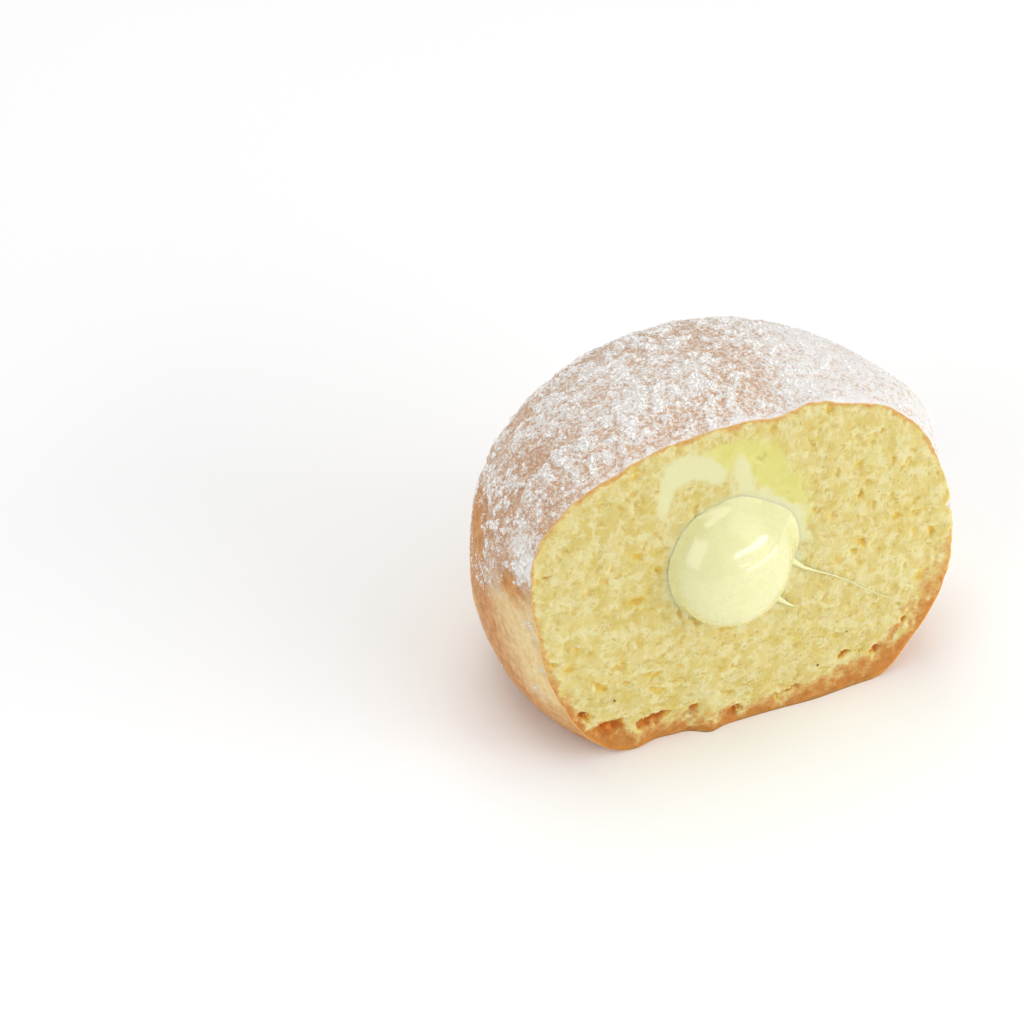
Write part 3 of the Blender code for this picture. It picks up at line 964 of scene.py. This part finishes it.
# Each point of a string is (u, w, half thickness), in mm.
STRINGS = [
    [(4.4, 22.0, 0.7), (5.4, 21.0, 0.45), (6.7, 19.8, 0.25), (8.3, 18.8, 0.15), (10.4, 17.6, 0.09),
     (12.5, 16.2, 0.08), (14.6, 14.5, 0.07), (17.4, 12.4, 0.06), (19.3, 11.2, 0.04)],
    [(2.2, 17.6, 0.6), (3.2, 16.4, 0.4), (4.3, 15.4, 0.22), (5.4, 14.6, 0.08)],
]


def string_of_cream(name, line):
    """A closed tube along a line of (u, w, half thickness) in mm, lying on the face."""
    rows = np.array(line) * MM
    at = np.linspace(0, len(rows) - 1, 12 * len(rows))
    u, w, radius = (np.interp(at, np.arange(len(rows)), column) for column in rows.T)
    places = upright_places(u, w)
    lift = radius * 0.3 + 0.10 * MM + 0.08 * MM * noise(places, 1.5 * MM, 97)
    middle = on_cut(np.stack([u, lift, w], axis=1))
    ahead = unit(np.gradient(middle, axis=0))
    side = unit(np.cross(ahead, (0, -1.0, 0)))
    over = np.cross(side, ahead)
    turn = np.linspace(0, math.tau, STRING_SIDES, endpoint=False)
    rings = [middle[:1]]
    for k in range(len(middle)):
        circle = np.cos(turn)[:, None] * side[k] + np.sin(turn)[:, None] * over[k]
        rings.append(middle[k] + radius[k] * circle)
    rings.append(middle[-1:])
    numbers = number_rings(rings, 0)
    triangles = knit_rings(numbers[1:])
    first, ring = numbers[0][0], numbers[1]
    triangles += [(ring[(i + 1) % len(ring)], first, ring[i]) for i in range(len(ring))]
    points = np.vstack(rings)
    triangles = np.array(triangles)
    if volume_of(points, triangles) < 0:
        triangles = triangles[:, ::-1]
    thing = mesh_object(name, points, triangles)
    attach(thing, "root")
    return thing


strings = [string_of_cream(f"string_of_cream_{k + 1}", line) for k, line in enumerate(STRINGS)]
print(len(strings), "strings of cream")

# %% [markdown]
# ## Icing sugar
#
# Icing sugar falls as a powder, which the finish can paint, but it also cakes into little lumps
# that catch the light. Those are real meshes: one small stone, copied thousands of times with its
# own turn, size and dents, and all joined in one piece. They are thrown on the crust's triangles,
# where the dusting is thick, and in drifts, because sugar sticks to sugar.

# %% How stones are made and thrown
def random_turns(count, draw):
    """Random rotation matrices."""
    a, b, c, d = unit(draw.normal(0, 1, (count, 4))).T
    return np.stack([
        np.stack([1 - 2 * (c * c + d * d), 2 * (b * c - a * d), 2 * (b * d + a * c)], axis=1),
        np.stack([2 * (b * c + a * d), 1 - 2 * (b * b + d * d), 2 * (c * d - a * b)], axis=1),
        np.stack([2 * (b * d - a * c), 2 * (c * d + a * b), 1 - 2 * (b * b + c * c)], axis=1),
    ], axis=1)


def stones(name, shape, places, normals, radii, flatness, sink, draw):
    """Many dented stones as one mesh, pressed flat onto a surface and sunk in it."""
    corners, triangles = shape
    count = len(places)
    dents = draw.uniform(0.6, 1.35, (count, len(corners), 1))
    bodies = np.einsum("nij,nkj->nki", random_turns(count, draw), corners * dents)
    out = (bodies * normals[:, None, :]).sum(axis=2, keepdims=True)
    bodies -= out * (1 - flatness) * normals[:, None, :]
    middles = places + normals * (radii * flatness * (1 - sink))[:, None]
    bodies = bodies * radii[:, None, None] + middles[:, None]
    numbers = triangles[None] + (np.arange(count) * len(corners))[:, None, None]
    thing = mesh_object(name, bodies.reshape(-1, 3), numbers.reshape(-1, 3))
    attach(thing, "root")
    print(name, "has", count, "stones and", count * len(triangles), "triangles")
    return thing


def throw(points, triangles, wanted, count, draw):
    """Random places on the triangles, and their normals. wanted is how likely each point is hit."""
    a, b, c = (points[triangles[:, i]] for i in range(3))
    across = np.cross(b - a, c - a)
    areas = np.linalg.norm(across, axis=1)
    chance = areas * wanted[triangles].mean(axis=1)
    hit = draw.choice(len(triangles), count, p=chance / chance.sum())
    s, t = draw.random((2, count, 1))
    s, t = np.where(s + t > 1, 1 - s, s), np.where(s + t > 1, 1 - t, t)
    return a[hit] + s * (b[hit] - a[hit]) + t * (c[hit] - a[hit]), unit(across[hit])


# %% Lumps and grains of sugar
draw = np.random.default_rng(2024)
away_from_cut = fade(rim, 0.6, 1.6)
# The right shoulder is smooth, with few lumps.
left_of_shoulder = fade(dough_points[:, 0] / MM, 16, 6)
sugar_wanted = dust * caked**2 * away_from_cut * (0.15 + 0.85 * left_of_shoulder)
octahedron = (
    np.array([[1, 0, 0], [-1, 0, 0], [0, 1, 0], [0, -1, 0], [0, 0, 1], [0, 0, -1.0]]),
    np.array([[0, 2, 4], [2, 1, 4], [1, 3, 4], [3, 0, 4], [2, 0, 5], [1, 2, 5], [3, 1, 5], [0, 3, 5]]),
)
GRAINS, LUMPS = 14000, 6000
places, normals = throw(dough_points, crust_triangles, sugar_wanted, GRAINS, draw)
radii = draw.uniform(0.05, 0.12, len(places)) * MM
grains = stones("sugar_grains", octahedron, places, normals, radii, 0.8, 0.4, draw)

places, normals = throw(dough_points, crust_triangles, sugar_wanted**1.5, LUMPS, draw)
radii = (0.08 + 0.20 * draw.random(len(places)) ** 2) * MM
lumps = stones("sugar_lumps", icosphere_directions(1), places, normals, radii, 0.6, 0.6, draw)

# %% [markdown]
# ## Loose crumbs
#
# A knife leaves crumbs. Hundreds of tiny ones stick to the cut face, mostly low down, and none
# where the face is wet or baked hard. They are stones of the same make as the sugar's. So are a
# few burnt specks from the fat, each set one by one on the nearest point of the face.

# %% Crumbs and specks on the face
LOOSE_CRUMBS = 700
crumb_wanted = np.zeros(len(dough_points))
dry_crumb = (1 - wet) * (1 - bake) ** 4 * fade(to_edge, 0.5 * MM, 1.5 * MM)
crumb_wanted[: len(face_points)] = (0.3 + fade(face_w, 16 * MM, 4 * MM)) * dry_crumb
places, normals = throw(dough_points, face_triangles, crumb_wanted, LOOSE_CRUMBS, draw)
radii = (0.06 + 0.10 * draw.random(len(places)) ** 2) * MM
crumbs = stones("loose_crumbs", icosphere_directions(1), places, normals, radii, 0.8, 0.4, draw)

# Each burnt speck is (u, w, half size), in mm.
BURNT_SPECKS = [
    (8.46, 4.9, 0.16), (-19.1, 8.2, 0.13), (12.6, 8.5, 0.10), (-12.6, 4.0, 0.17), (-9.0, 2.9, 0.09),
]
speck_rows = np.array(BURNT_SPECKS) * MM
nearest = [int(np.hypot(face_u - u, face_w - w).argmin()) for u, w, _ in speck_rows]
places, normals = face_points[nearest], np.tile((0, -1.0, 0), (len(nearest), 1))
radii = speck_rows[:, 2]
specks = stones("burnt_specks", icosphere_directions(2), places, normals, radii, 0.7, 0.4, draw)

# %% [markdown]
# ## Finishes
#
# A finish is a **shader**: a small machine of nodes that answers, for each point, what colour it
# is, how shiny, and how much light goes into it and comes out again beside. That last one is
# **subsurface scattering**. Dough, cream and sugar are all pale and cloudy, and without it they
# look like painted stone. Colours are written the way a paint program shows them, from 0 to 255,
# and turned into amounts of light here.

# %% Small helpers for shaders
def light(red, green, blue):
    """A colour from 0 to 255 as amounts of light from 0 to 1."""
    shares = [value / 255 for value in (red, green, blue)]
    return tuple(s / 12.92 if s <= 0.04045 else ((s + 0.055) / 1.055) ** 2.4 for s in shares) + (1.0,)


def put(socket, value):
    """Gives a node's input a value, or joins it to another node's output."""
    if isinstance(value, bpy.types.NodeSocket):
        socket.id_data.links.new(value, socket)
    else:
        socket.default_value = value


def new_finish(name):
    """A new material, and its tree of nodes."""
    material = bpy.data.materials.new(name)
    material.use_nodes = True
    return material, material.node_tree


def set_shader(tree, inputs):
    """Fills in the inputs of the tree's main shader."""
    for name, value in inputs.items():
        put(tree.nodes["Principled BSDF"].inputs[name], value)


def add_node(tree, kind, inputs, **settings):
    """A new node with its settings made, and its inputs filled in by name or number."""
    node = tree.nodes.new("ShaderNode" + kind)
    for key, value in settings.items():
        setattr(node, key, value)
    for key, value in inputs.items():
        put(node.inputs[key], value)
    return node


print("light in a colour of 128:", round(light(128, 128, 128)[0], 3))


# %% Patterns, sums and blends
def position(tree):
    """The place of the point that is being coloured, in metres."""
    return add_node(tree, "NewGeometry", {}).outputs["Position"]


def shrunk(tree, place, size, stretch=(1, 1, 1)):
    """The place measured in steps of `size`, so that a texture's spots get that size."""
    steps = tuple(s / size for s in stretch)
    return add_node(tree, "VectorMath", {0: place, 1: steps}, operation="MULTIPLY").outputs["Vector"]


def spots(tree, size, detail=2.0, roughness=0.5):
    """A noise whose spots are `size` metres across, as a number around 0.5."""
    inputs = {"Scale": 1.0, "Detail": detail, "Roughness": roughness}
    inputs["Vector"] = shrunk(tree, position(tree), size)
    return add_node(tree, "TexNoise", inputs).outputs["Fac"]


def stored(tree, key):
    """A number stored on the mesh's points."""
    return add_node(tree, "Attribute", {}, attribute_name=key).outputs["Fac"]


def sum_of(tree, operation, *values):
    """A small sum, such as ADD or MULTIPLY, of numbers or node outputs."""
    return add_node(tree, "Math", dict(enumerate(values)), operation=operation).outputs["Value"]


def ramp(tree, value, start, end, low=0.0, high=1.0):
    """The value's way from start to end, as a soft step from low to high."""
    inputs = dict(enumerate((value, start, end, low, high)))
    return add_node(tree, "MapRange", inputs, interpolation_type="SMOOTHSTEP").outputs["Result"]


def blend(tree, share, first, second):
    """One colour turning into another. A Mix node keeps its two colours in inputs 6 and 7."""
    return add_node(tree, "Mix", {0: share, 6: first, 7: second}, data_type="RGBA").outputs[2]


def raise_by(tree, height, strength, distance):
    """A bump: the shader's normal leans as if the surface had this height."""
    inputs = {"Height": height, "Strength": strength, "Distance": distance}
    return add_node(tree, "Bump", inputs).outputs["Normal"]


# %% [markdown]
# ## The crust's finish
#
# Under the sugar the crust is fried brown on the dome and the base, and cream-coloured round the
# waist, which floated above the fat. Real powder is millions of crystals, too many to model. So
# only its lumps and coarse grains are meshes, and the powder between them is a mask of fine
# spots: the more dust a point has, the more of each spot is white, and the caked clumps whiten
# first. Between the spots a haze of the finest sugar lightens the crust. Right at the cut the
# knife has pressed the sugar flat, and the crust's own thickness shows as a thin tan line.

# %% Crust under its sugar
crust, tree = new_finish("fried_crust_with_sugar")
dust_here, rim_here = stored(tree, "dust"), stored(tree, "rim")
mottle = ramp(tree, spots(tree, 1.1 * MM, 5, 0.65), 0.36, 0.64)
pale = blend(tree, mottle, light(238, 218, 166), light(228, 198, 136))
brown = blend(tree, mottle, light(216, 160, 98), light(190, 126, 70))
bare = blend(tree, stored(tree, "fried"), pale, brown)
hazy = blend(tree, ramp(tree, dust_here, 0.05, 0.60, 0.0, 0.36), bare, light(242, 217, 200))
inside_rim = ramp(tree, rim_here, 0.05, 0.45)
hazy = blend(tree, inside_rim, light(236, 196, 138), hazy)
print("the crust under its powder takes", len(tree.nodes), "nodes")

# %% The powder, and the crust's shader
speckle = ramp(tree, spots(tree, 0.48 * MM, 3, 0.6), 0.38, 0.62)
finest = ramp(tree, spots(tree, 0.16 * MM, 2, 0.6), 0.35, 0.65)
cover = sum_of(tree, "MULTIPLY_ADD", speckle, 0.54, dust_here)
cover = sum_of(tree, "MULTIPLY_ADD", finest, 0.48, cover)
cover = sum_of(tree, "MULTIPLY_ADD", stored(tree, "caked"), 0.36, cover)
dusted = ramp(tree, dust_here, 0.05, 0.30)
bumps = sum_of(tree, "MULTIPLY", mottle, 0.25)
bumps = sum_of(tree, "MULTIPLY_ADD", cover, dusted, bumps)
thick = ramp(tree, dust_here, 0.35, 0.60)
pressed = sum_of(tree, "MULTIPLY", ramp(tree, rim_here, 1.4, 0.4), thick)
cover = sum_of(tree, "MULTIPLY_ADD", pressed, 0.22, cover)
powder = sum_of(tree, "MULTIPLY", dusted, inside_rim)
powder = sum_of(tree, "MULTIPLY", ramp(tree, cover, 0.96, 1.36), powder)
white = blend(tree, ramp(tree, cover, 1.15, 1.75), light(235, 216, 199), light(254, 250, 246))
set_shader(tree, {
    "Base Color": blend(tree, powder, hazy, white),
    "Roughness": ramp(tree, powder, 0.2, 0.8, 0.55, 0.95),
    "Specular IOR Level": 0.3,
    "Subsurface Weight": 0.3,
    "Subsurface Radius": (1.0, 0.7, 0.5),
    "Subsurface Scale": 0.4 * MM,
    "Normal": raise_by(tree, bumps, 0.7, 0.25 * MM),
})
print("finish:", crust.name, "of", len(tree.nodes), "nodes")

# %% [markdown]
# ## The crumb's finish
#
# Crumb is yellow from its egg, and light glows through its thin walls. Two yellows are mixed in
# patches, and the walls between the bubbles, which catch the light, are painted paler: a painted
# highlight. They come from a **Voronoi** texture, which splits space into cells and knows how far
# each point is from the nearest wall. Pits, and small holes that are only painted, get a deeper
# ochre: painted shade for the dim light inside them. Wet places are brighter and shinier, and the
# baked edge goes from tan to orange in ragged spots. Beside the cream the crumb is painted paler
# too. Light that enters the dough there should come out through the cream, but it only travels
# inside one mesh, so without the paint a dark line would surround the drop.

# %% Walls between bubbles
WIDE_BUBBLES = (0.7, 1, 1)


def cell_walls(tree, size):
    """1 on the thin walls between bubbles about `size` metres across, and 0 inside them."""
    place = position(tree)
    bend = add_node(tree, "TexNoise", {"Vector": place, "Scale": 0.8 / size, "Detail": 3.0})
    sway = {0: bend.outputs["Color"], 1: (1.2 * size,) * 3, 2: place}
    bent = add_node(tree, "VectorMath", sway, operation="MULTIPLY_ADD").outputs["Vector"]
    inputs = {"Vector": shrunk(tree, bent, size, WIDE_BUBBLES), "Scale": 1.0}
    bubbles = add_node(tree, "TexVoronoi", inputs, feature="DISTANCE_TO_EDGE")
    return ramp(tree, bubbles.outputs["Distance"], 0.22, 0.02)


crumb, tree = new_finish("yellow_crumb")
walls = sum_of(tree, "MAXIMUM", cell_walls(tree, 0.9 * MM), cell_walls(tree, 2.0 * MM))
walls = sum_of(tree, "MULTIPLY", walls, ramp(tree, spots(tree, 1.5 * MM, 3), 0.40, 0.62))
print("two sizes of bubbles, in", len(tree.nodes), "nodes")

# %% Crumb
patches = ramp(tree, spots(tree, 2.4 * MM, 5, 0.6), 0.36, 0.64)
# Small holes that are only painted: darker ochre spots, a painted shade.
small_hole_shade = ramp(tree, spots(tree, 0.8 * MM, 4, 0.6), 0.46, 0.30, 0.0, 0.8)
# The deeper a pit, the deeper its ochre: a painted shade inside the pit.
deep = ramp(tree, stored(tree, "pit"), 0.03, 0.45, 0.0, 0.85)
soaked_here, smeared_here = stored(tree, "soaked"), stored(tree, "smeared")
wet_yellow = ramp(tree, soaked_here, 0.0, 1.0, 0.0, 0.75)
baked = stored(tree, "bake")
uneven = sum_of(tree, "MULTIPLY_ADD", spots(tree, 0.9 * MM, 6, 0.75), 2.0, -1.0)
baked = sum_of(tree, "MULTIPLY_ADD", uneven, ramp(tree, baked, 0.0, 0.3), baked)
beside_cream = ramp(tree, stored(tree, "near_cream"), 0.0, 1.0, 0.0, 0.7)
yellow = blend(tree, patches, light(205, 186, 108), light(213, 199, 135))
# Each layer of colour is laid over the ones before it: how much of it, and its colour.
for share, colour in [
    (small_hole_shade, (200, 171, 84)),
    # The walls are painted paler: a painted highlight where they catch the light.
    (sum_of(tree, "MULTIPLY", walls, 0.75), (221, 213, 164)),
    (deep, (223, 189, 74)),
    (wet_yellow, (212, 208, 119)),
    (ramp(tree, baked, 0.08, 0.45), (205, 168, 102)),
    (ramp(tree, baked, 0.45, 1.0), (190, 127, 57)),
    (ramp(tree, stored(tree, "torn"), 0.1, 0.8), (208, 133, 50)),
    (ramp(tree, smeared_here, 0.0, 0.9), (217, 214, 167)),
    (beside_cream, (248, 240, 190)),
]:
    yellow = blend(tree, share, yellow, light(*colour))
shine = sum_of(tree, "MAXIMUM", smeared_here, soaked_here)
relief = sum_of(tree, "MULTIPLY_ADD", walls, 0.7, spots(tree, 0.35 * MM, 3, 0.6))
relief = sum_of(tree, "MULTIPLY", relief, sum_of(tree, "SUBTRACT", 1.0, shine))
set_shader(tree, {
    "Base Color": yellow,
    "Roughness": ramp(tree, shine, 0.3, 1.0, 0.8, 0.35),
    "Specular IOR Level": 0.35,
    "Subsurface Weight": 0.9,
    "Subsurface Radius": (1.0, 0.75, 0.35),
    "Subsurface Scale": 1.6 * MM,
    "Normal": raise_by(tree, relief, 0.4, 0.25 * MM),
})
dough.data.materials.append(crust)
dough.data.materials.append(crumb)
dough.data.polygons.foreach_set("material_index", is_crumb)
print("finish:", crumb.name, "of", len(tree.nodes), "nodes")

# %% Loose crumbs and burnt specks
loose, tree = new_finish("loose_crumb")
loose_colour = blend(tree, spots(tree, 1.5 * MM), light(222, 204, 132), light(236, 226, 172))
set_shader(tree, {"Base Color": loose_colour, "Roughness": 0.8})
crumbs.data.materials.append(loose)

burnt, tree = new_finish("burnt_dough")
burnt_colour = blend(tree, spots(tree, 0.1 * MM), light(160, 92, 50), light(116, 66, 38))
set_shader(tree, {"Base Color": burnt_colour, "Roughness": 0.6})
specks.data.materials.append(burnt)
print("finishes:", loose.name, "and", burnt.name)

# %% [markdown]
# ## Cream and sugar
#
# Custard is smooth and wet. A clear **coat** mirrors the lamps sharply, over a softer shine of its
# own. Light travels far in real custard, but here it is given only a short way to go, because the
# back of this mesh lies inside the dough, and light that gets there is lost. Icing sugar is fine
# crystals: nearly white, dull, and rough down to a tenth of a millimetre. Its lumps are so small
# that they look right without any light inside them.

# %% Cream and sugar
custard, tree = new_finish("custard")
set_shader(tree, {
    "Base Color": blend(tree, spots(tree, 4 * MM), light(223, 221, 163), light(227, 226, 171)),
    "Roughness": ramp(tree, spots(tree, 1.0 * MM), 0.3, 0.7, 0.22, 0.34),
    "Specular IOR Level": 0.5,
    "Coat Weight": 0.9,
    "Coat Roughness": 0.06,
    "Subsurface Weight": 0.25,
    "Subsurface Radius": (1.0, 0.85, 0.5),
    "Subsurface Scale": 0.4 * MM,
    "Normal": raise_by(tree, spots(tree, 0.8 * MM, 1), 0.06, 0.1 * MM),
})
for thing in [cream] + strings:
    thing.data.materials.append(custard)

sugar, tree = new_finish("icing_sugar")
set_shader(tree, {
    "Base Color": blend(tree, spots(tree, 0.6 * MM), light(250, 246, 242), light(254, 251, 248)),
    "Roughness": 0.9,
    "Normal": raise_by(tree, spots(tree, 0.12 * MM), 0.4, 0.05 * MM),
})
for thing in [grains, lumps]:
    thing.data.materials.append(sugar)
print("finishes:", custard.name, "and", sugar.name)

# %% [markdown]
# ## The studio
#
# A pale floor, three big soft lamps at the right, at the left and above, and pale air that fills
# the shadows. Food is lit like this so that it looks light and fresh. Two narrow strip lamps
# stand in front at the right, one low and one higher. They light the cut face, and each draws a
# long bright line on the wet cream. The picture is shown with the plain Standard view, because
# the others grey down a white background.

# %% Floor, lamps and air
FLOOR_SIZE = 6.0
LIT_SPOT = Vector((0, 0, 0.02))
bpy.ops.mesh.primitive_plane_add(size=FLOOR_SIZE, location=(0, 0, 0))
floor = bpy.context.object
floor.name = "floor"
paper, tree = new_finish("pale_paper")
set_shader(tree, {"Base Color": light(252, 252, 252), "Roughness": 0.9})
floor.data.materials.append(paper)
floor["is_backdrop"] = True


def lamp(name, place, width, height, watts):
    """A soft lamp that faces the doughnut."""
    data = bpy.data.lights.new(name, "AREA")
    data.shape = "RECTANGLE"
    data.size = width
    data.size_y = height
    data.energy = watts
    thing = bpy.data.objects.new(name, data)
    thing.location = place
    thing.rotation_euler = (Vector(place) - LIT_SPOT).to_track_quat("Z", "Y").to_euler()
    bpy.context.scene.collection.objects.link(thing)
    return thing


lamp("key_lamp", (0.40, -0.20, 0.60), 0.60, 0.60, 0.7)
lamp("fill_lamp", (-0.70, -0.30, 0.40), 0.60, 0.60, 1.95)
lamp("top_lamp", (0.00, 0.30, 0.75), 0.60, 0.60, 2.4)
lamp("low_strip", (0.42, -0.46, 0.06), 0.60, 0.10, 0.8)
lamp("high_strip", (0.335, -0.46, 0.27), 0.60, 0.13, 1.4)
world = bpy.data.worlds.new("studio_air")
world.use_nodes = True
air = world.node_tree.nodes["Background"]
put(air.inputs["Color"], (1.0, 1.0, 1.0, 1.0))
put(air.inputs["Strength"], 0.44)
bpy.context.scene.world = world
bpy.context.scene.view_settings.view_transform = "Standard"
print("five lamps and the air")

# %% [markdown]
# ## The camera
#
# A long lens from 60 cm away keeps the doughnut's form true, while a short lens close by would
# swell its front. It looks down from the front left, and is aimed at the doughnut's left side, so
# that the doughnut stands right of the middle.

# %% Camera
camera_data = bpy.data.cameras.new("camera")
camera_data.lens = 171.63
camera_data.sensor_width = 36
camera = bpy.data.objects.new("camera", camera_data)
camera.location = (-0.219993, -0.424793, 0.387006)
aim = Vector((-0.022925, 0.009622, 0.023071))
camera.rotation_euler = (camera.location - aim).to_track_quat("Z", "Y").to_euler()
bpy.context.scene.collection.objects.link(camera)
bpy.context.scene.camera = camera
print("the camera is", round((camera.location - aim).length, 3), "m away")

# %% [markdown]
# ## Both sizes, written down
#
# The finished piece has to fill the same box as its solids. Both boxes are written down, so that
# they can be compared after every change.

# %% Write both boxes down
dressed_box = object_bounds()
for name, box in (("solids", cad_box), ("finished", dressed_box)):
    sides = [round((high - low) / MM, 1) for low, high in zip(*box)]
    print(name, "measure", sides, "mm")
